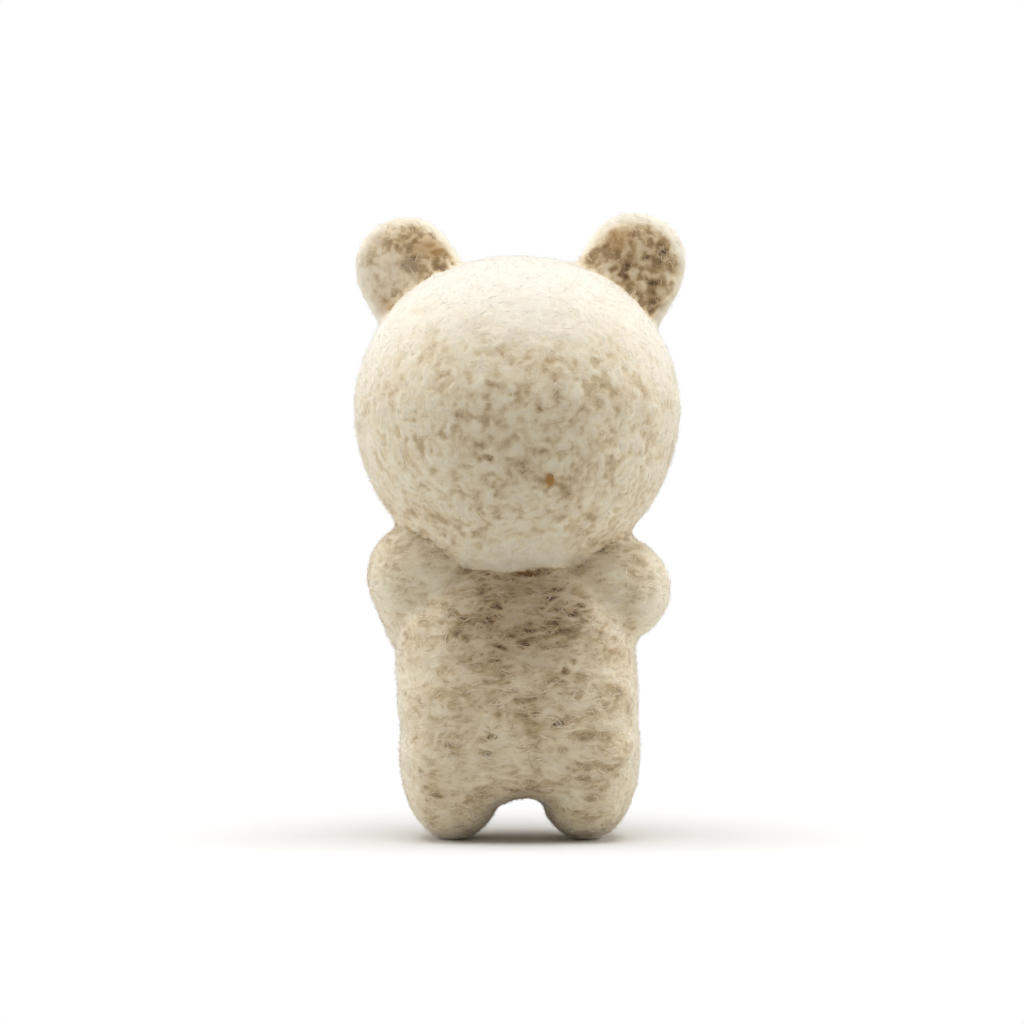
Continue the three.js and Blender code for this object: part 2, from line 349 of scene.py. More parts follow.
def skin(nodes, inside, grid=GRID, rounds=SMOOTHING_ROUNDS):
    """The smooth skin round the nodes, with each face labelled by the node it stands for."""
    mesh = fused(nodes + inside, grid)
    keep_outside(mesh)
    edges = mesh_edges(mesh)
    points = mesh_points(mesh)
    for _ in range(rounds):
        points += (neighbour_means(points, edges) - points) * SMOOTHING_SHARE
    quads = mesh_quads(mesh)
    labels = settle_labels(nearest_nodes(points[quads].mean(axis=1), nodes), quads)
    mesh.vertices.foreach_set("co", (points * MM).astype(np.float32).ravel())
    for node in nodes:
        mesh.materials.append(bpy.data.materials.new(node))
    mesh.polygons.foreach_set("material_index", labels.astype(np.int32))
    coarse = bpy.data.objects.new("skin", mesh)
    bpy.context.scene.collection.objects.link(coarse)
    coarse.modifiers.new("finer", "SUBSURF").levels = 1
    finer = evaluated_mesh(coarse)
    labels = np.empty(len(finer.polygons), np.int32)
    finer.polygons.foreach_get("material_index", labels)
    made = SimpleNamespace(
        nodes=nodes,
        points=mesh_points(finer) - mesh_normals(finer) * GROWTH,
        normals=mesh_normals(finer),
        quads=mesh_quads(finer),
        edges=mesh_edges(finer),
        labels=labels,
    )
    made.tree = BVHTree.FromPolygons([tuple(p) for p in made.points], [tuple(q) for q in made.quads])
    made.search = KDTree(len(made.points))
    for i, point in enumerate(made.points):
        made.search.insert(point, i)
    made.search.balance()
    made.values = {name: np.full(len(made.points), value) for name, value in PLAIN_VALUES.items()}
    return made


def laid_strands(skin, kind):
    """The relief of laid strands: each point takes the height and the tint of the uppermost one over it."""
    random = np.random.default_rng(kind.laid_seed)
    spread = scattered(skin, kind.laid_count, random, kind.labels)
    lines, _ = strand_lines(skin, spread, kind, random)
    level = random.uniform(0, 1, kind.laid_count)
    tint = random.random(kind.laid_count)
    radius = kind.laid_thickness / 2 * random.uniform(*LAID_WIDTHS, kind.laid_count)
    finer = np.linspace(0, STRAND_STEPS, LAID_BEADS)
    before = np.minimum(finer.astype(int), STRAND_STEPS - 1)
    share = (finer - before)[:, None]
    beads = lines[:, before] * (1 - share) + lines[:, before + 1] * share
    ends = 1 - (2 * finer / STRAND_STEPS - 1) ** 4
    top = np.full(len(skin.points), BARE_LEVEL)
    tints = np.full(len(skin.points), PLAIN_VALUES["tint"])
    for i in range(kind.laid_count):
        for bead, end in zip(beads[i], ends, strict=True):
            for _, index, gap in skin.search.find_range(Vector(bead), radius[i]):
                roundness = (1 - (gap / radius[i]) ** 2) * LAID_ROUNDNESS * end
                height = level[i] * LAID_STACKING + roundness
                if height > top[index]:
                    top[index] = height
                    tints[index] = tint[i]
    return softened(skin, top, kind.softening), softened(skin, tints, 1)


def softened(skin, values, rounds):
    """Values at the skin's points, each moved towards its neighbours."""
    for _ in range(rounds):
        means = neighbour_means(values[:, None], skin.edges)[:, 0]
        values = values + (means - values) * SMOOTHING_SHARE
    return values


def raise_skin(skin, height):
    """Lifts the skin by height along its normals. The soles stay flat."""
    low = rise(skin.points[:, 2], *SOLE_FADE)
    raised = skin.points + skin.normals * (height * low)[:, None]
    raised[:, 2] = np.where(skin.points[:, 2] < SOLE_REACH, skin.points[:, 2], raised[:, 2])
    raised[:, 2] = np.maximum(raised[:, 2], 0)
    skin.points = raised
    across = raised[skin.quads[:, 2]] - raised[skin.quads[:, 0]]
    along = raised[skin.quads[:, 3]] - raised[skin.quads[:, 1]]
    facing = np.cross(across, along)
    corners = skin.quads.ravel()
    total = [np.bincount(corners, np.repeat(facing[:, axis], 4), len(raised)) for axis in range(3)]
    skin.shading = np.stack(total, axis=1)
    skin.shading /= np.maximum(np.linalg.norm(skin.shading, axis=1, keepdims=True), 1e-12)
    skin.tree = BVHTree.FromPolygons([tuple(p) for p in skin.points], [tuple(q) for q in skin.quads])


def capped_part(skin, label):
    """One label's faces as points, quads and cap triangles. A fan inside closes each open border."""
    quads = skin.quads[skin.labels == label]
    used, quads = np.unique(quads, return_inverse=True)
    quads = quads.reshape(-1, 4)
    points = skin.points[used]
    starts = quads.ravel()
    ends = np.roll(quads, -1, axis=1).ravel()
    width = len(points)
    border = ~np.isin(starts * width + ends, ends * width + starts)
    after = dict(zip(starts[border].tolist(), ends[border].tolist(), strict=True))
    caps = []
    middles = []
    while after:
        start = next(iter(after))
        ring = []
        while start in after:
            ring.append(start)
            start = after.pop(start)
        middle = width + len(middles)
        middles.append(points[ring].mean(axis=0))
        caps += [(b, a, middle) for a, b in zip(ring, ring[1:] + ring[:1], strict=True)]
    if middles:
        points = np.concatenate([points, middles])
    return used, points, quads, caps, len(middles)


def skin_piece(skin, label, name, material):
    """The skin's piece that stands for one CAD node, shaded as the whole skin so that no edge shows."""
    used, points, quads, caps, middles = capped_part(skin, label)
    made = new_mesh(name, points, quads, caps)
    for value_name, plain in PLAIN_VALUES.items():
        values = np.concatenate([skin.values[value_name][used], np.full(middles, plain)])
        set_values(made, value_name, values)
    shading = np.zeros((len(made.data.loops), 3))
    shading[: quads.size] = skin.shading[used][quads.ravel()]
    made.data.normals_split_custom_set(shading)
    made.data.materials.append(material)
    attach(made, "root")
    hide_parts(skin.nodes[label])


# Strands


def drawn_count(count):
    """How many of so many strands or hairs are drawn."""
    return count


def scattered(skin, count, random, labels):
    """Points spread evenly over the labelled faces, with the normals, labels and skin values there."""
    quads = skin.quads
    across = skin.points[quads[:, 2]] - skin.points[quads[:, 0]]
    along = skin.points[quads[:, 3]] - skin.points[quads[:, 1]]
    area = np.linalg.norm(np.cross(across, along), axis=1) * np.isin(skin.labels, labels)
    faces = random.choice(len(quads), count, p=area / area.sum())
    picked = quads[faces]
    u, v = random.random((2, count, 1))
    weights = [(1 - u) * (1 - v), u * (1 - v), u * v, (1 - u) * v]
    places = sum(w * skin.points[picked[:, i]] for i, w in enumerate(weights))
    normals = sum(w * skin.normals[picked[:, i]] for i, w in enumerate(weights))
    return SimpleNamespace(
        places=places,
        normals=normals / np.linalg.norm(normals, axis=1, keepdims=True),
        labels=skin.labels[faces],
        values={name: values[picked[:, 0]] for name, values in skin.values.items()},
    )


def crossed(a, b):
    """Unit vectors square to a and b."""
    result = np.cross(a, b)
    return result / np.maximum(np.linalg.norm(result, axis=-1, keepdims=True), 1e-9)


def strand_lines(skin, spread, kind, random):
    """The middle line of each strand: it wanders along the skin and dives in at both ends."""
    places, normals = spread.places, spread.normals
    count = len(places)
    level = crossed(np.broadcast_to(UP, normals.shape), normals)
    upward = crossed(normals, level)
    heading = random.normal(0, kind.spread, count) + random.integers(0, 2, count) * math.pi
    bend = random.normal(0, kind.curl, count)
    wave = random.normal(0, kind.wave, count)
    phase = random.uniform(0, 2 * math.pi, count)
    length = kind.length * random.uniform(*STRAND_LENGTHS, count)
    steps = STRAND_STEPS + 1
    at = np.linspace(-0.5, 0.5, steps)
    wander = wave[:, None] * np.sin(2 * math.pi * at + phase[:, None])
    angle = heading[:, None] + bend[:, None] * at + wander
    stride = (length / STRAND_STEPS)[:, None]
    x = np.cumsum(np.cos(angle) * stride, axis=1)
    y = np.cumsum(np.sin(angle) * stride, axis=1)
    x -= x.mean(axis=1, keepdims=True)
    y -= y.mean(axis=1, keepdims=True)
    lines = places[:, None] + x[..., None] * level[:, None] + y[..., None] * upward[:, None]
    arch = 1 - (2 * at) ** 4
    lift = random.uniform(*STRAND_LIFT, count)[:, None] * arch - STRAND_SINK * (1 - arch)
    normals_at = np.empty_like(lines)
    for i, line in enumerate(lines):
        for j, point in enumerate(line):
            found, normal, _, _ = skin.tree.find_nearest(Vector(point))
            lines[i, j] = found
            normals_at[i, j] = normal
    facing = normals_at + 2 * normals[:, None]
    facing /= np.linalg.norm(facing, axis=2, keepdims=True)
    return lines + facing * lift[..., None], facing


def strand_mesh(name, lines, facing, radius):
    """Closed tubes along the lines, pointed at both ends."""
    count, steps = lines.shape[:2]
    tangent = np.gradient(lines, axis=1)
    side = crossed(tangent, facing)
    up = crossed(side, tangent)
    turn = 2 * math.pi * (np.arange(STRAND_SIDES) / STRAND_SIDES + 0.25)
    at = np.linspace(-1, 1, steps)[1:-1]
    taper = 1 - STRAND_TAPER * at**2
    sideways = side[:, 1:-1, None] * np.cos(turn)[:, None]
    upward = (up * STRAND_FLATNESS)[:, 1:-1, None] * np.sin(turn)[:, None]
    ring = sideways + upward
    rings = lines[:, 1:-1, None] + ring * (radius[:, None] * taper)[..., None, None]
    points = np.concatenate([lines[:, :1], rings.reshape(count, -1, 3), lines[:, -1:]], axis=1)
    per_strand = points.shape[1]
    quads = []
    triangles = []
    last = 1 + (steps - 3) * STRAND_SIDES
    for k in range(STRAND_SIDES):
        after = (k + 1) % STRAND_SIDES
        triangles.append((0, 1 + k, 1 + after))
        triangles.append((per_strand - 1, last + after, last + k))
        for s in range(steps - 3):
            a = 1 + s * STRAND_SIDES
            b = a + STRAND_SIDES
            quads.append((a + k, b + k, b + after, a + after))
    offsets = (np.arange(count) * per_strand)[:, None, None]
    quads = (np.array(quads) + offsets).reshape(-1, 4)
    triangles = (np.array(triangles) + offsets).reshape(-1, 3)
    return new_mesh(name, points.reshape(-1, 3), quads, triangles), per_strand


def strand_pieces(spread, lines, facing, radius, pieces, depths):
    """One mesh of strands for each piece: pieces gives its name, its labels, its slot and its material."""
    lines[..., 2] = np.maximum(lines[..., 2], radius[:, None] * 2)
    for name, chosen, slot, material in pieces:
        here = np.isin(spread.labels, chosen)
        made, per_strand = strand_mesh(name, lines[here], facing[here], radius[here])
        for value_name, values in {**spread.values, "depth": depths, "tint": spread.tints}.items():
            set_values(made, value_name, np.repeat(values[here], per_strand))
        made.data.materials.append(material)
        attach(made, "root")


def strands(skin, kind, materials):
    """Loose strands that lie on the skin."""
    random = np.random.default_rng(kind.strand_seed)
    count = drawn_count(kind.count)
    spread = scattered(skin, count, random, kind.labels)
    lines, facing = strand_lines(skin, spread, kind, random)
    radius = kind.thickness / 2 * random.uniform(*STRAND_WIDTHS, count)
    spread.tints = random.random(count)
    depths = STRAND_SHADE * spread.values["depth"] + random.uniform(*STRAND_DEPTH, count)
    pieces = [(name, labels, slot, materials[slot]) for name, labels, slot in kind.strand_pieces]
    strand_pieces(spread, lines, facing, radius, pieces, depths)


def fuzz(skin, kind, material):
    """Fine hairs that stand up from the skin and lean over."""
    random = np.random.default_rng(kind.fuzz_seed)
    count = drawn_count(FUZZ_COUNT)
    spread = scattered(skin, count, random, kind.labels)
    places, normals = spread.places, spread.normals
    lean = crossed(random.normal(size=(count, 3)), normals)
    turned = crossed(normals, lean)
    height = FUZZ_HEIGHT * random.uniform(*FUZZ_HEIGHTS, count)
    at = np.linspace(0, 1, FUZZ_STEPS + 1)
    swing = random.normal(0, FUZZ_SWING, (count, 1))
    rise_along = height[:, None] * np.sin(at * FUZZ_ARC)
    lean_along = height[:, None] * (1 - np.cos(at * FUZZ_ARC)) + FUZZ_LEAN * height[:, None] * at
    lines = (
        places[:, None]
        - normals[:, None] * FUZZ_SINK
        + normals[:, None] * rise_along[..., None]
        + lean[:, None] * lean_along[..., None]
        + turned[:, None] * (swing * at**2)[..., None]
    )
    facing = np.broadcast_to(turned[:, None], lines.shape)
    radius = FUZZ_THICKNESS / 2 * random.uniform(*FUZZ_WIDTHS, count)
    spread.tints = np.full(count, PLAIN_VALUES["tint"])
    name, slot = kind.fuzz_piece
    strand_pieces(spread, lines, facing, radius, [(name, kind.labels, slot, material)], np.zeros(count))


# Materials


# Wool as its shader sees it: the sizes of its fine and broad mottling and of its bumps, how far the mottling
# and a strand's tint move its shade, and where its four shades lie from the uppermost strands to the pits,
# whose darker shades are painted shade.
FINE_MOTTLE = 0.8
FINE_DETAIL = 3.0
BROAD_MOTTLE = 3.0
BUMP_SIZE = 0.35
BUMP_DETAIL = 4.0
BUMP = {"Strength": 0.7, "Distance": 0.08 * MM}
NOISE_BAND = (0.3, 0.7)
FINE_SHIFT = 0.1
BROAD_SHIFT = 0.2
TINT_SHIFT = 0.2
SHADE_PLACES = (0.08, 0.35, 0.6, 1.0)
WOOL_ROUGHNESS = (0.55, 0.7)
WOOL_GLOSS = {"Specular IOR Level": 0.4, "Sheen Weight": 0.5, "Sheen Roughness": 0.45}

# Strands whose tint is below the first number turn rosy, by up to the second.
ROSY_BELOW = 0.35
ROSY_AMOUNT = 0.4

# How far painted shade darkens the darkest patches, and from which amount on, and how far, the palest turn
# white with painted light, on the ears' rims partly their own pale fuzz.
SHADED_AMOUNT = 0.85
WHITE_FROM = 0.3
WHITE_AMOUNT = 0.7

# The beads' glass: the sizes of its cloudiness and its scuffs, their stretch, and its gloss.
CLOUD_SIZE = 0.8
SCUFF_SIZE = 0.15
SCUFF_DETAIL = 4.0
SCUFF_STRETCH = (3, 1, 1)
SCUFF_BAND = (0.4, 0.75)
BEAD_ROUGHNESS = (0.04, 0.16)
BEAD_GLOSS = {"Specular IOR Level": 0.6, "Coat Weight": 0.6, "Coat Roughness": 0.03}


def set_inputs(node, values):
    """Sets a node's own sockets by name."""
    for name, value in values.items():
        node.inputs[name].default_value = value


def add_node(tree, kind, inputs=None, **settings):
    """A new node with its settings and its own sockets' values."""
    made = tree.nodes.new(kind)
    for name, value in settings.items():
        setattr(made, name, value)
    set_inputs(made, inputs or {})
    return made


def new_material(name):
    """A node material with one Principled shader, and the object's own coordinates in millimetres."""
    made = bpy.data.materials.new(name)
    made.use_nodes = True
    tree = made.node_tree
    shader = tree.nodes["Principled BSDF"]
    coordinates = add_node(tree, "ShaderNodeTexCoord")
    scaled = add_node(tree, "ShaderNodeVectorMath", operation="SCALE", inputs={"Scale": 1 / MM})
    tree.links.new(coordinates.outputs["Object"], scaled.inputs[0])
    return made, tree, shader, scaled.outputs[0]


def noise_texture(tree, place, size, stretch=(1, 1, 1), detail=2.0):
    """Noise of features about size mm across, stretched along the axes."""
    mapping = add_node(tree, "ShaderNodeMapping")
    mapping.inputs["Scale"].default_value = tuple(1 / (size * s) for s in stretch)
    texture = add_node(tree, "ShaderNodeTexNoise", inputs={"Scale": 1.0, "Detail": detail})
    tree.links.new(place, mapping.inputs["Vector"])
    tree.links.new(mapping.outputs["Vector"], texture.inputs["Vector"])
    return texture.outputs["Fac"]


def attribute(tree, name):
    """What each point of the mesh carries under the name."""
    return add_node(tree, "ShaderNodeAttribute", attribute_name=name).outputs["Fac"]


def ranged(tree, value, low, high, to_low=0.0, to_high=1.0):
    """The value's place between low and high, moved to the range from to_low to to_high."""
    made = add_node(
        tree,
        "ShaderNodeMapRange",
        inputs={"From Min": low, "From Max": high, "To Min": to_low, "To Max": to_high},
        clamp=True,
    )
    tree.links.new(value, made.inputs["Value"])
    return made.outputs["Result"]


def added(tree, first, second):
    """The sum of two sockets."""
    made = add_node(tree, "ShaderNodeMath", operation="ADD")
    tree.links.new(first, made.inputs[0])
    tree.links.new(second, made.inputs[1])
    return made.outputs[0]


def mixed(tree, share, first, second, blend="MIX"):
    """A colour mix. first and second are sockets or colours."""
    made = add_node(tree, "ShaderNodeMix", data_type="RGBA", blend_type=blend)
    tree.links.new(share, made.inputs["Factor"])
    for socket, value in ((made.inputs[6], first), (made.inputs[7], second)):
        if isinstance(value, tuple):
            socket.default_value = value
        else:
            tree.links.new(value, socket)
    return made.outputs[2]


def colour(red, green, blue):
    """A screen colour, 0 to 255, as the shader's linear one."""
    return tuple(
        c / 12.92 if c <= 0.04045 else ((c + 0.055) / 1.055) ** 2.4
        for c in (red / 255, green / 255, blue / 255)
    ) + (1.0,)


def shades(*screen_colours):
    """Several screen colours, each red, green and blue, as the shader's linear ones."""
    return [colour(*one) for one in screen_colours]


def ramp(tree, value, stops):
    """Colours along a value: stops are (place, colour) pairs."""
    made = add_node(tree, "ShaderNodeValToRGB")
    elements = made.color_ramp.elements
    while len(elements) < len(stops):
        elements.new(0.5)
    for element, (place, shade) in zip(elements, stops, strict=True):
        element.position = place
        element.color = shade
    tree.links.new(value, made.inputs["Fac"])
    return made.outputs["Color"]


def wool(name, wool_shades, stretch=(1, 1, 1)):
    """Felted wool. Its shades are the palest, mixed in as painted light, and then from the uppermost strands
    to the deepest pits, darker as painted shade.
    """
    made, tree, shader, place = new_material(name)
    white, *by_depth = wool_shades
    fine = noise_texture(tree, place, FINE_MOTTLE, stretch, FINE_DETAIL)
    broad = noise_texture(tree, place, BROAD_MOTTLE)
    tint = attribute(tree, "tint")
    shade = attribute(tree, "depth")
    for part in (
        ranged(tree, fine, *NOISE_BAND, -FINE_SHIFT, FINE_SHIFT),
        ranged(tree, broad, *NOISE_BAND, -BROAD_SHIFT, BROAD_SHIFT),
        ranged(tree, tint, 0.0, 1.0, -TINT_SHIFT, TINT_SHIFT),
    ):
        shade = added(tree, shade, part)
    # Deeper points take darker shades: painted shade in the pits and the hollows between strands.
    base = ramp(tree, shade, list(zip(SHADE_PLACES, by_depth, strict=True)))
    rosy = ranged(tree, tint, ROSY_BELOW, 0.0, 0.0, ROSY_AMOUNT)
    base = mixed(tree, rosy, base, ROSY_WOOL)
    # Ochre stains, and the ochre tint of the painted shade in the neck's crease.
    base = mixed(tree, attribute(tree, "stain_and_crease_shade"), base, OCHRE_STAIN_AND_CREASE_SHADE)
    # Painted shade darkens the dark patches and painted light whitens the pale ones; on the ears' rims the
    # whitening is partly their own pale fuzz.
    pale = attribute(tree, "pale")
    darkened = ranged(tree, pale, 0.0, -1.0, 0.0, SHADED_AMOUNT)
    base = mixed(tree, darkened, base, SHADED_WOOL, "MULTIPLY")
    whitened = ranged(tree, pale, WHITE_FROM, 1.0, 0.0, WHITE_AMOUNT)
    base = mixed(tree, whitened, base, white)
    tree.links.new(base, shader.inputs["Base Color"])
    tree.links.new(ranged(tree, fine, *NOISE_BAND, *WOOL_ROUGHNESS), shader.inputs["Roughness"])
    set_inputs(shader, WOOL_GLOSS)
    bump = add_node(tree, "ShaderNodeBump", inputs=BUMP)
    bumps = noise_texture(tree, place, BUMP_SIZE, stretch, BUMP_DETAIL)
    tree.links.new(bumps, bump.inputs["Height"])
    tree.links.new(bump.outputs["Normal"], shader.inputs["Normal"])
    return made


def bead_glass(name):
    """Polished black glass with a faint cloudiness and a few fine scuffs in its gloss."""
    made, tree, shader, place = new_material(name)
    cloud = ranged(tree, noise_texture(tree, place, CLOUD_SIZE), *NOISE_BAND)
    tree.links.new(mixed(tree, cloud, DEEP_BLACK, CLOUDY_BLACK), shader.inputs["Base Color"])
    scuffs = noise_texture(tree, place, SCUFF_SIZE, SCUFF_STRETCH, SCUFF_DETAIL)
    tree.links.new(ranged(tree, scuffs, *SCUFF_BAND, *BEAD_ROUGHNESS), shader.inputs["Roughness"])
    set_inputs(shader, BEAD_GLOSS)
    return made


# The shades of each wool: its palest, mixed in as painted light, and then from its uppermost strands to its
# deepest pits, which darken as painted shade.
CREAM = shades((250, 246, 236), (248, 237, 212), (240, 224, 192), (222, 201, 163), (178, 151, 111))
OATMEAL = shades((250, 244, 228), (250, 238, 210), (235, 217, 182), (200, 176, 135), (104, 79, 47))
TAN = shades((250, 247, 238), (246, 231, 200), (224, 200, 159), (180, 150, 106), (104, 77, 45))
FLEECE = shades((250, 246, 238), (246, 242, 232), (238, 232, 218), (220, 210, 190), (184, 172, 150))
DARK = shades((90, 68, 54), (78, 58, 46), (58, 42, 32), (38, 28, 22), (20, 14, 10))
FUZZ = shades((252, 248, 240), (252, 247, 236), (248, 240, 224), (236, 224, 202), (200, 186, 160))

# The torso's wool was wrapped sideways, so its mottling is drawn out along X and Y.
WRAPPED = (2, 2, 1)

# Shades that every wool shares: a faintly rosy one, an ochre stain that also tints the painted shade in the
# neck's crease, and the painted shade of the darker patches.
ROSY_WOOL = colour(214, 190, 170)
OCHRE_STAIN_AND_CREASE_SHADE = colour(180, 130, 62)
SHADED_WOOL = (0.5, 0.43, 0.34, 1.0)

# The shades of the beads' glass.
DEEP_BLACK = colour(8, 7, 7)
CLOUDY_BLACK = colour(20, 17, 16)


# The bear's parts


# Each felted node, its piece, and the slot of its wool. The torso's wool comes first, and then the head's.
FELT_PIECES = [
    ("torso_cover", "felt_torso", "torso_wool"),
    ("arm_left", "felt_arm_left", "torso_wool"),
    ("arm_right", "felt_arm_right", "torso_wool"),
    ("leg_left", "felt_leg_left", "torso_wool"),
    ("leg_right", "felt_leg_right", "torso_wool"),
    ("head_cover", "felt_head", "head_wool"),
    ("ear_left", "felt_ear_left", "ear_wool"),
    ("ear_right", "felt_ear_right", "ear_wool"),
    ("muzzle", "felt_muzzle", "head_wool"),
]

# Two solids that no node of the skin stands for, but that fill it.
FELT_CORES = ["torso_core", "head_core"]

# Where the wool is paler, or darker where the amount is below 0: the middle, the radii and the amount. On the
# torso and the head, the paler wool is painted light and the darker is painted shade.
TORSO_PAINTED_LIGHT_AND_SHADE = [
    # Painted shadow of the head over the upper back, and painted shade on the middle of the back and in the
    # crotch.
    ((0, 15, 27.5), (13, 12, 9), -0.95),
    ((0, 14, 19), (11, 9, 8), -0.28),
    ((-0.5, 8, 4), (5, 12, 4), -0.7),
    # Painted light on the outer sides of the shoulders, on the lower sides and the legs, and on the arms.
    ((21, 4, 28), (7, 30, 12), 0.1),
    ((-19.5, 4, 28), (7, 30, 12), 0.1),
    ((17, 0, 14), (9, 30, 22), 0.5),
    ((-17, 0, 14), (9, 30, 22), 0.5),
    ((13, 8, 32), (9, 16, 9), 0.35),
    ((-13, 8, 32), (9, 16, 9), 0.35),
    # Painted shade near the floor, darker towards the soles.
    ((0, 0, 0), (30, 30, 3), -0.2),
]
HEAD_PAINTED_LIGHT_AND_SHADE = [
    # Painted light on the crown from the lamp above, on the head's underside from light bounced up, and on
    # its sides.
    ((0, 0, 73), (60, 60, 24), 1.0),
    ((0, 12, 31), (18, 20, 8), 0.55),
    ((20, 0, 50), (12, 30, 24), 0.35),
    ((-20, 0, 50), (12, 30, 24), 0.35),
    # Painted shade on the middle of the head's back.
    ((0, 19, 49), (12, 8, 13), -0.15),
]
# On the ears' middles, one ear is paler and the other darker.
EAR_SPOTS = [((15, 0, 67), (9, 9, 9), 0.45), ((-14, 0, 68), (9, 9, 9), -0.3)]

# Ochre stains on the back, one of which tints the painted shade in the neck's crease, and needle pits that
# went deeper, which sink the skin and darken it with painted shade, each with a middle, radii and an amount.
STAINS_AND_CREASE_SHADE = [
    ((-3.4, 18, 42.6), (0.8, 5, 1.2), 1.2),
    ((-3.2, 18, 56.4), (0.9, 5, 0.5), 0.45),
    ((1.3, 16, 63), (0.9, 5, 0.6), 0.25),
    # Ochre tint of the painted shade in the neck's crease.
    ((-0.4, 10, 31.7), (3, 5, 0.6), 0.4),
    ((-7.7, 12, 30.2), (2.6, 5, 3), 0.2),
    ((-11, 12, 22.8), (1.6, 5, 0.6), 0.5),
    ((11, 3, 70.4), (2.6, 3, 1.6), 0.5),
    ((16.2, 3, 63.4), (1.6, 3, 1.6), 0.4),
    ((-11.8, 3, 71.4), (2.4, 3, 2), 0.45),
]
DEEP_PITS = [
    ((3.3, 13, 12.8), (0.8, 5, 0.4), 0.8),
    ((4, 13, 10.7), (0.6, 5, 0.4), 0.8),
    ((-4.3, 13, 14.4), (0.9, 5, 0.35), 0.8),
    ((3.4, 18, 45.2), (0.6, 5, 0.5), 0.5),
    ((-3.1, 17, 39.2), (0.6, 5, 0.4), 0.5),
    # The neck's crease, sunk a little and darkened with painted shade.
    ((-0.4, 10, 31.7), (2.6, 5, 0.45), 0.8),
]
PIT_DEPTH = 0.3

# Where the needling left the skin fuller, or hollower where the amount is below 0.
SWELLINGS = [((7, 8, 33.5), (8, 9, 4), 0.5), ((-0.5, 0, 4), (3, 20, 3), -0.55)]

# How each wool lies. Labels are places in FELT_PIECES. Laid strands shape the skin, and loose ones lie on it.
# Spread is how far they turn from level, curl how far one bends, and wave how far it wriggles, in radians.
TORSO_WOOL = SimpleNamespace(
    labels=range(5),
    spots=TORSO_PAINTED_LIGHT_AND_SHADE,
    relief=0.18,
    contrast=0.32,
    softening=1,
    laid_seed=24,
    laid_count=8000,
    laid_thickness=0.52,
    strand_seed=21,
    count=12000,
    thickness=0.22,
    length=3.2,
    spread=0.4,
    curl=1.0,
    wave=0.6,
    strand_pieces=[
        ("torso_strands", [0], "torso_wool"),
        ("arm_strands", [1, 2], "torso_wool"),
        ("leg_strands", [3, 4], "torso_wool"),
    ],
    fuzz_seed=23,
    fuzz_piece=("body_fuzz", "torso_wool"),
)
HEAD_WOOL = SimpleNamespace(
    labels=range(5, 9),
    spots=HEAD_PAINTED_LIGHT_AND_SHADE,
    relief=0.16,
    contrast=0.8,
    softening=2,
    laid_seed=34,
    laid_count=9000,
    laid_thickness=0.62,
    strand_seed=31,
    count=9500,
    thickness=0.18,
    length=2.2,
    spread=3.0,
    curl=2.8,
    wave=0.8,
    strand_pieces=[
        ("head_curls", [5, 8], "head_wool"),
        ("ear_strands", [6, 7], "ear_wool"),
    ],
    fuzz_seed=33,
    fuzz_piece=("head_fuzz", "head_wool"),
)

# The creases that are rounded out, at the neck, the arms and the legs: the labels on one side, and the
# rounds. Before that, a border is made soft over so many rounds, and so is the one between the two wools.
SEAMS = [(TORSO_WOOL.labels, 24), ([1], 50), ([2], 50), ([3], 30), ([4], 30)]
SEAM_SOFTNESS = 8
WOOL_SOFTNESS = 4

# The skin's slow unevenness: its height, its size and its seed.
UNEVENNESS = 0.08
UNEVENNESS_SIZE = 3.2
UNEVENNESS_SEED = 24

# A strand of the first height neither raises nor lowers the skin, and one of the second has the middle depth.
RELIEF_MIDDLE = 0.6
DEPTH_MIDDLE_HEIGHT = 0.55
DEPTH_MIDDLE = 0.45

# What pale spots, painted light on the torso and the head, take from the contrast, the relief and the depth,
# in full from this amount on.
CALM_FULL = 0.8
CALM_CONTRAST = 0.6
CALM_RELIEF = 0.3
CALM_DEPTH = 0.3

# What dark spots, painted shade on the torso and the head, add to the contrast and the depth.
DARK_CONTRAST = 1.15
DARK_DEPTH = 0.3

# The pale rim of an ear, partly the wool's own pale fuzz and partly painted rim light, starts and is full at
# these distances from the ear's middle line. It wanders by noise of this size, and the wool inside it lies a
# little deeper, with more painted shade. The margin is round the CAD ear's box.
EAR_RIM = (4.2, 6.4)
EAR_RIM_AMOUNT = 0.8
EAR_RIM_WANDER = 0.5
EAR_RIM_SIZE = 2.0
EAR_RIM_SEED = 5
EAR_MARGIN = 0.5
EAR_DEPTH = 0.1


def ear_shares(points):
    """Which points are on an ear, and how near each is to its pale rim: 0 in the middle, 1 at the outline."""
    lowest, highest = (np.array(corner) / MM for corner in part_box("head_cover"))
    head = (lowest + highest) / 2
    on_ear = np.zeros(len(points))
    rim = np.zeros(len(points))
    for node in ("ear_left", "ear_right"):
        lowest, highest = (np.array(corner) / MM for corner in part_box(node))
        middle = (lowest + highest) / 2
        axis = (head - middle) * (1, 0, 1)
        length = np.linalg.norm(axis)
        axis /= length
        away = (points - middle) * (1, 0, 1)
        along = np.clip(away @ axis, 0, length)
        gap = np.linalg.norm(away - along[:, None] * axis, axis=1)
        gap += EAR_RIM_WANDER * noise(points, EAR_RIM_SIZE, EAR_RIM_SEED)
        inside = np.all((points > lowest - EAR_MARGIN) & (points < highest + EAR_MARGIN), axis=1)
        on_ear[inside] = 1
        rim[inside] = rise(gap[inside], *EAR_RIM)
    return on_ear, rim


def share_of(skin, labels, rounds):
    """1 on the labelled skin, 0 elsewhere, and soft between."""
    share = np.zeros(len(skin.points))
    share[skin.quads[np.isin(skin.labels, labels)]] = 1
    return softened(skin, share, rounds)


def soften_seam(skin, labels, rounds):
    """Rounds out the crease where the labelled skin meets the rest."""
    share = share_of(skin, labels, SEAM_SOFTNESS)
    seam = (4 * share * (1 - share))[:, None]
    for _ in range(rounds):
        means = neighbour_means(skin.points, skin.edges)
        skin.points = skin.points + (means - skin.points) * seam * SMOOTHING_SHARE


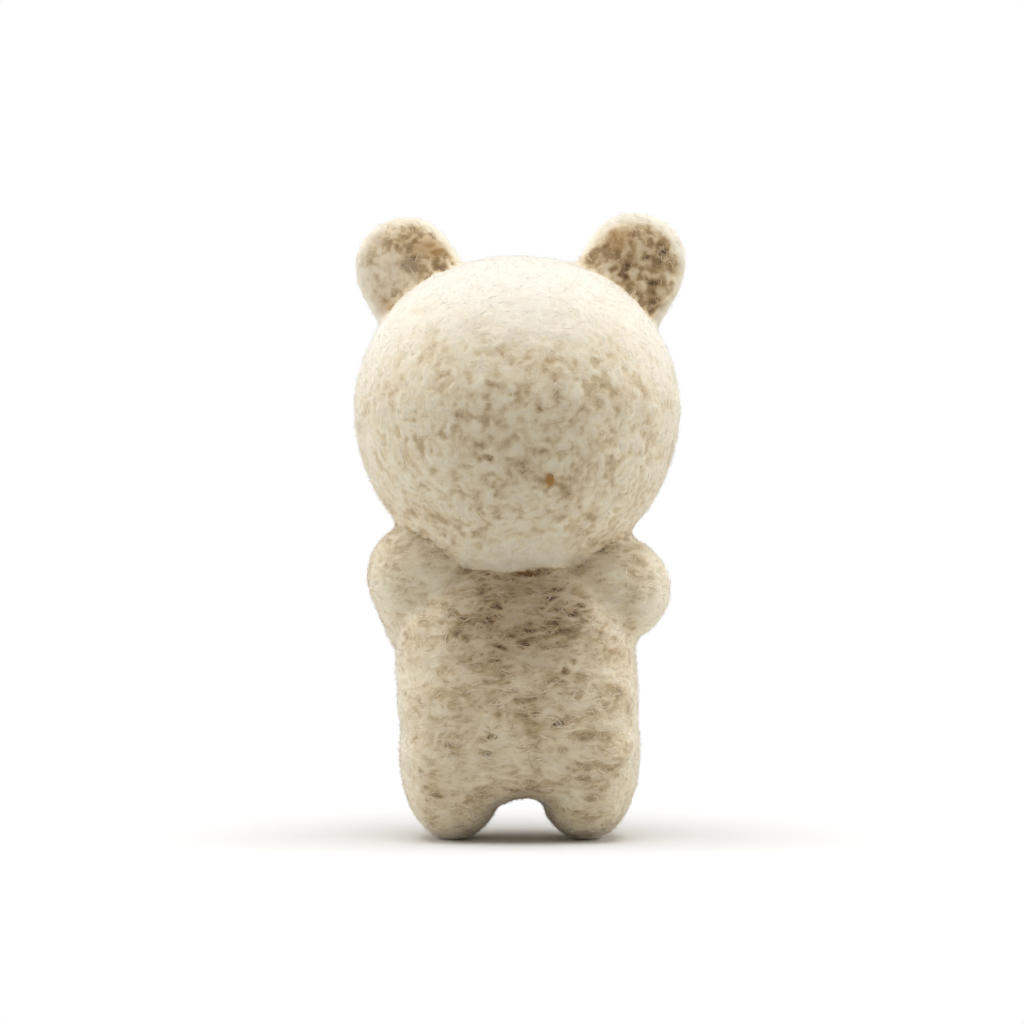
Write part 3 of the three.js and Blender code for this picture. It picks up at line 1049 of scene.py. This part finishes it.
def shape_wool(skin, kinds):
    """Gives the skin the relief of each kind's strands, and the values that its materials read."""
    for labels, rounds in SEAMS:
        soften_seam(skin, labels, rounds)
    on_ear, rim = ear_shares(skin.points)
    pits = soft_spots(skin.points, DEEP_PITS)
    height = UNEVENNESS * noise(skin.points, UNEVENNESS_SIZE, UNEVENNESS_SEED)
    height += soft_spots(skin.points, SWELLINGS) - PIT_DEPTH * pits
    blended = {name: np.zeros(len(skin.points)) for name in ("depth", "tint", "pale")}
    for kind in kinds:
        share = share_of(skin, kind.labels, WOOL_SOFTNESS)
        top, tints = laid_strands(skin, kind)
        # An ear's rim is partly its own pale fuzz and partly painted rim light.
        ear_pale = rim * EAR_RIM_AMOUNT + soft_spots(skin.points, EAR_SPOTS) * (1 - rim)
        pale = np.where(on_ear > 0, ear_pale, soft_spots(skin.points, kind.spots))
        calm = rise(pale, 0.0, CALM_FULL)
        dark = np.clip(-pale, 0, 1)
        contrast = kind.contrast * (1 - CALM_CONTRAST * calm) + DARK_CONTRAST * dark
        height += share * kind.relief * (1 - CALM_RELIEF * calm) * (top - RELIEF_MIDDLE)
        depth = DEPTH_MIDDLE - CALM_DEPTH * calm + DARK_DEPTH * dark
        blended["depth"] += share * (depth + (DEPTH_MIDDLE_HEIGHT - top) * contrast)
        blended["tint"] += share * tints
        blended["pale"] += share * pale
    blended["depth"] += EAR_DEPTH * on_ear * (1 - rim) + pits
    skin.values = {**blended, "stain_and_crease_shade": soft_spots(skin.points, STAINS_AND_CREASE_SHADE)}
    raise_skin(skin, height)


def make_felt(materials):
    """The torso, limbs, head, ears and muzzle: one fused skin, cut where the pieces meet."""
    whole = skin([node for node, _, _ in FELT_PIECES], FELT_CORES)
    kinds = [TORSO_WOOL, HEAD_WOOL]
    shape_wool(whole, kinds)
    for label, (_, name, slot) in enumerate(FELT_PIECES):
        skin_piece(whole, label, name, materials[slot])
    for kind in kinds:
        strands(whole, kind, materials)
    for kind in kinds:
        fuzz(whole, kind, materials["fuzz"])


def make_nose(material):
    """The nose and the mouth's line, of dark wool."""
    for seed, (node, name, grid) in enumerate(DARK_PIECES, DARK_SEED):
        whole = skin([node], [], grid, DARK_ROUNDS)
        raise_skin(whole, DARK_RELIEF * noise(whole.points, DARK_RELIEF_SIZE, seed))
        skin_piece(whole, 0, name, material)


def sphere_through(points):
    """The middle and the radius of the sphere that the points lie on."""
    terms = np.column_stack([2 * points, np.ones(len(points))])
    solved = np.linalg.lstsq(terms, (points**2).sum(axis=1), rcond=None)[0]
    middle = solved[:3]
    return middle, math.sqrt(solved[3] + middle @ middle)


def revolved(name, middle, axis, profile):
    """A closed round mesh about an axis: profile runs from tip to tip as (along, out) pairs."""
    side = crossed(axis, UP)
    across = crossed(axis, side)
    turn = np.linspace(0, 2 * math.pi, BEAD_SIDES, endpoint=False)[:, None]
    outward = side * np.cos(turn) + across * np.sin(turn)
    rings = [middle + axis * along + outward * out for along, out in profile[1:-1]]
    tips = [middle + axis * profile[end][0] for end in (0, -1)]
    points = np.concatenate([*rings, tips])
    around = np.arange(BEAD_SIDES)
    after = np.roll(around, -1)
    last = (len(rings) - 1) * BEAD_SIDES
    quads = []
    for start in range(0, last, BEAD_SIDES):
        end = start + BEAD_SIDES
        quads.append(np.stack([start + around, start + after, end + after, end + around], axis=1))
    first_tip, last_tip = np.full((2, BEAD_SIDES), len(points) - 2) + [[0], [1]]
    first_cap = np.stack([after, around, first_tip], axis=1)
    last_cap = np.stack([last + around, last + after, last_tip], axis=1)
    return new_mesh(name, points, np.concatenate(quads), np.concatenate([first_cap, last_cap]))


def make_eyes(material):
    """Each eye: a smooth bead on the stem that goes into the head, true to the CAD's."""
    for side in ("left", "right"):
        node = "eye_" + side
        points = mesh_points(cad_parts[node].data)
        front = points[:, 1] < points[:, 1].min() + BEAD_FRONT
        middle, radius = sphere_through(points[front])
        away = points - middle
        stem = away[np.linalg.norm(away, axis=1) > radius + BEAD_MARGIN]
        axis = stem.mean(axis=0) / np.linalg.norm(stem.mean(axis=0))
        stem_length = (stem @ axis).max()
        stem_radius = np.linalg.norm(np.cross(stem, axis), axis=1).max()
        angles = np.linspace(0, math.pi - math.asin(stem_radius / radius), BEAD_RINGS)
        profile = [(-radius * math.cos(angle), radius * math.sin(angle)) for angle in angles]
        profile += [(stem_length, stem_radius), (stem_length, 0)]
        made = revolved("bead_eye_" + side, middle, axis, profile)
        made.data.materials.append(material)
        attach(made, "root")
        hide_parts(node)


# The studio


def make_lamp(name, place, size, level):
    """A soft box that shines at the bear's middle: level is its brightness, where 1 renders white."""
    data = bpy.data.lights.new(name, "AREA")
    data.shape = "RECTANGLE"
    data.size = size[0] * MM
    data.size_y = size[1] * MM
    data.energy = level * math.pi * data.size * data.size_y
    made = bpy.data.objects.new(name, data)
    made.location = Vector(place) * MM
    made.rotation_euler = (Vector(LAMP_AIM) - Vector(place)).to_track_quat("-Z", "Y").to_euler()
    bpy.context.scene.collection.objects.link(made)


def make_world():
    """White where it is seen or mirrored, and a low even light elsewhere."""
    world = bpy.data.worlds.new("studio")
    bpy.context.scene.world = world
    world.use_nodes = True
    tree = world.node_tree
    background = tree.nodes["Background"]
    path = add_node(tree, "ShaderNodeLightPath")
    seen = add_node(tree, "ShaderNodeMath", operation="MAXIMUM")
    shown = add_node(tree, "ShaderNodeMath", operation="MAXIMUM")
    tree.links.new(path.outputs["Is Camera Ray"], seen.inputs[0])
    tree.links.new(path.outputs["Is Glossy Ray"], seen.inputs[1])
    tree.links.new(seen.outputs[0], shown.inputs[0])
    tree.links.new(path.outputs["Is Transmission Ray"], shown.inputs[1])
    coordinates = add_node(tree, "ShaderNodeTexCoord")
    direction = add_node(tree, "ShaderNodeSeparateXYZ")
    tree.links.new(coordinates.outputs["Generated"], direction.inputs[0])
    tent = ranged(tree, direction.outputs["Y"], *TENT_FADE, TENT_LEVEL, TENT_LEVEL_AT_CAMERA)
    strength = add_node(tree, "ShaderNodeMix", data_type="FLOAT")
    tree.links.new(shown.outputs[0], strength.inputs[0])
    tree.links.new(tent, strength.inputs[2])
    strength.inputs[3].default_value = 1.0
    tree.links.new(strength.outputs[0], background.inputs["Strength"])
    background.inputs["Color"].default_value = (1.0, 1.0, 1.0, 1.0)


def make_floor():
    """A pale floor that keeps the bear's shadow near it and turns plain white further off."""
    corners = np.array([[-1, -1, 0], [1, -1, 0], [1, 1, 0], [-1, 1, 0]]) * FLOOR_REACH
    floor = new_mesh("floor", corners, [(0, 1, 2, 3)], [])
    made = bpy.data.materials.new("floor")
    made.use_nodes = True
    tree = made.node_tree
    shader = tree.nodes["Principled BSDF"]
    set_inputs(shader, {"Roughness": FLOOR_ROUGHNESS, "Specular IOR Level": 0.0})
    white = add_node(tree, "ShaderNodeEmission", inputs={"Strength": 1.0})
    coordinates = add_node(tree, "ShaderNodeTexCoord")
    length = add_node(tree, "ShaderNodeVectorMath", operation="LENGTH")
    tree.links.new(coordinates.outputs["Object"], length.inputs[0])
    near, far = FLOOR_FADE
    away = ranged(tree, length.outputs["Value"], near * MM, far * MM)
    path = add_node(tree, "ShaderNodeLightPath")
    shade = mixed(tree, path.outputs["Is Camera Ray"], FLOOR_BOUNCE, FLOOR_SEEN)
    tree.links.new(shade, shader.inputs["Base Color"])
    share = add_node(tree, "ShaderNodeMath", operation="MULTIPLY")
    tree.links.new(away, share.inputs[0])
    tree.links.new(path.outputs["Is Camera Ray"], share.inputs[1])
    mix = add_node(tree, "ShaderNodeMixShader")
    tree.links.new(share.outputs[0], mix.inputs[0])
    tree.links.new(shader.outputs[0], mix.inputs[1])
    tree.links.new(white.outputs[0], mix.inputs[2])
    tree.links.new(mix.outputs[0], tree.nodes["Material Output"].inputs["Surface"])
    floor.data.materials.append(made)


def make_camera():
    """A level camera that looks at the bear's back from far off, as the photograph's did."""
    data = bpy.data.cameras.new("camera")
    data.sensor_width = SENSOR_WIDTH
    data.lens = SENSOR_WIDTH * CAMERA_DISTANCE / (MM_PER_PIXEL * PICTURE_PIXELS)
    data.clip_start = CLIP_START * MM
    made = bpy.data.objects.new("camera", data)
    made.location = Vector((CAMERA_X, CAMERA_DISTANCE, CAMERA_Z)) * MM
    made.rotation_euler = (math.radians(90), 0, math.radians(180))
    bpy.context.scene.collection.objects.link(made)
    bpy.context.scene.camera = made


def main():
    """Builds the materials, the camera, the bear and the studio round it."""
    bpy.context.scene.view_settings.view_transform = "Standard"
    materials = {
        "head_wool": wool("cream_wool", CREAM),
        "torso_wool": wool("oatmeal_wool", OATMEAL, WRAPPED),
        "ear_wool": wool("tan_wool", TAN),
        "core_wool": wool("core_fleece", FLEECE),
        "dark_wool": wool("dark_felt", DARK),
        "fuzz": wool("pale_fuzz", FUZZ),
    }
    make_camera()
    make_felt(materials)
    make_nose(materials["dark_wool"])
    make_eyes(bead_glass("black_bead_glass"))
    for node in [*FELT_CORES, "neck_plug"]:
        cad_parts[node].material_slots[0].material = materials["core_wool"]
    for lamp in LAMPS:
        make_lamp(*lamp)
    make_world()
    make_floor()


main()
